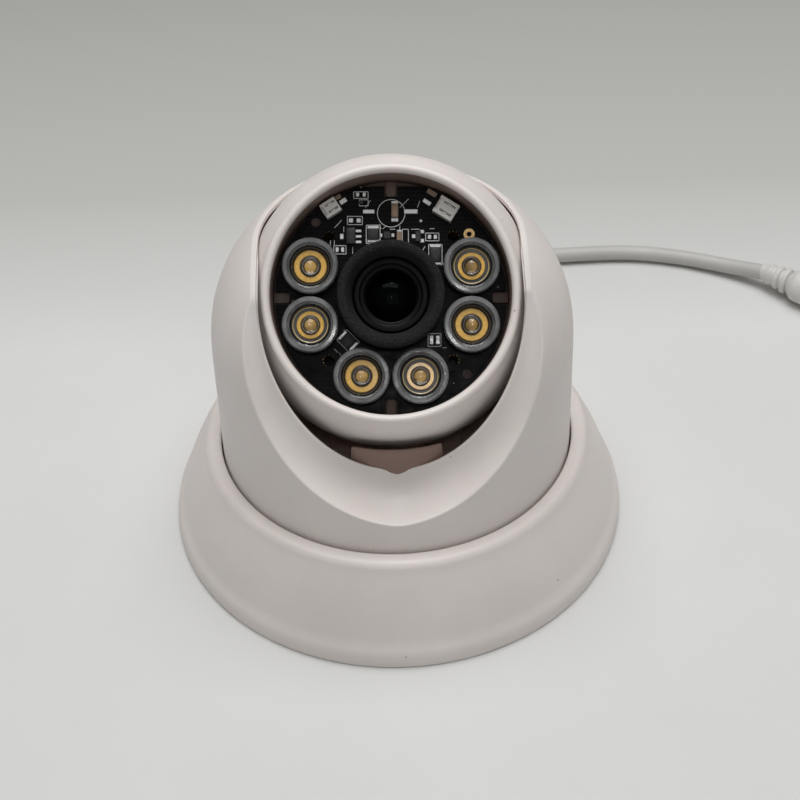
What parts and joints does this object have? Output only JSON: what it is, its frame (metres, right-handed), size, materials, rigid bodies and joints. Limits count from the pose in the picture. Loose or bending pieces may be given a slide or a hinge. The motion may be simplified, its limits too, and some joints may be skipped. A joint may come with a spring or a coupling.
{
  "type": "dome security camera",
  "caption": "Ceiling dome security camera: a tilting lens ball with LED lights in a turning turret on a round sloped base, with a video and power cord.",
  "frame": {"origin": "centre of the base's flat mounting face, where the pan axis meets it", "axes": "+Z from the mounting face through the turret along the pan axis, -Y the side the lens faces at rest, +Y the side the cord leaves from"},
  "size_m": [0.1788, 0.1246, 0.0769],
  "materials": {
    "cover_plastic": "fine matte moulded texture",
    "inner_plastic": "smooth matte",
    "circuit_board": "black solder mask",
    "socket_nylon": "natural nylon",
    "chip": "moulded epoxy",
    "capacitor": "fired ceramic",
    "phosphor": "yellow phosphor",
    "clear_optic": "clear moulded acrylic",
    "foam": "open-cell black foam",
    "lens_black": "black anodised and black moulded",
    "lens_glass": "coated optical glass",
    "brass": "turned",
    "plated_steel": "zinc or nickel plated",
    "cord_jacket": "smooth white PVC"
  },
  "bodies": {
    "base": {"base_cover": "cover_plastic", "base_plate": "inner_plastic", "cable_grommet": "cover_plastic", "cord_clip": "inner_plastic", "pan_retainer": "inner_plastic", "cover_screw_1": "plated_steel", "cover_screw_2": "plated_steel", "cover_screw_3": "plated_steel", "cord_main": "cord_jacket", "cord_splitter": "cord_jacket", "cord_video": "cord_jacket", "cord_power": "cord_jacket", "video_boot": "cord_jacket", "video_socket": "plated_steel", "power_socket": "cord_jacket", "power_pin": "plated_steel"},
    "turret": {"turret_shell": "cover_plastic", "turret_yoke": "inner_plastic", "pan_washer": "plated_steel", "shell_screw_1": "plated_steel", "shell_screw_2": "plated_steel", "shell_screw_3": "plated_steel"},
    "tilt_carrier": {"tilt_cup": "inner_plastic"},
    "ball": {"ball_front_shell": "cover_plastic", "ball_rear_shell": "cover_plastic", "led_board": "circuit_board", "sensor_board": "circuit_board", "lens_holder": "lens_black", "lens_barrel": "lens_black", "lens_front_glass": "lens_glass", "lens_rear_glass": "lens_glass", "image_sensor": "chip", "foam_hood": "foam", "led_1": "phosphor", "led_2": "phosphor", "led_3": "phosphor", "led_4": "phosphor", "led_5": "phosphor", "led_6": "phosphor", "led_lens_1": "clear_optic", "led_lens_2": "clear_optic", "led_lens_3": "clear_optic", "led_lens_4": "clear_optic", "led_lens_5": "clear_optic", "led_lens_6": "clear_optic", "lead_socket_left": "socket_nylon", "lead_socket_right": "socket_nylon", "lead_socket_rear": "socket_nylon", "driver_chip": "chip", "board_capacitor": "capacitor", "resistor_1": "chip", "resistor_2": "chip", "resistor_3": "chip", "board_spacer_1": "brass", "board_spacer_2": "brass", "board_spacer_3": "brass", "board_spacer_4": "brass", "holder_screw_1": "plated_steel", "holder_screw_2": "plated_steel"}
  },
  "joints": [
    {"name": "turret_pan", "type": "hinge", "parent": "base", "child": "turret", "pos_m": [0, 0, 0], "axis": [0, 0, 1], "range_deg": [-177.5, 177.5]},
    {"name": "ball_tilt", "type": "hinge", "parent": "turret", "child": "tilt_carrier", "pos_m": [0, 0, 0.0504], "axis": [1, 0, 0], "range_deg": [-46.4, 25.6]},
    {"name": "image_rotation", "type": "hinge", "parent": "tilt_carrier", "child": "ball", "pos_m": [0, 0, 0.0504], "axis": [0, -0.7242, 0.6896], "range_deg": [-175, 175]}
  ]
}
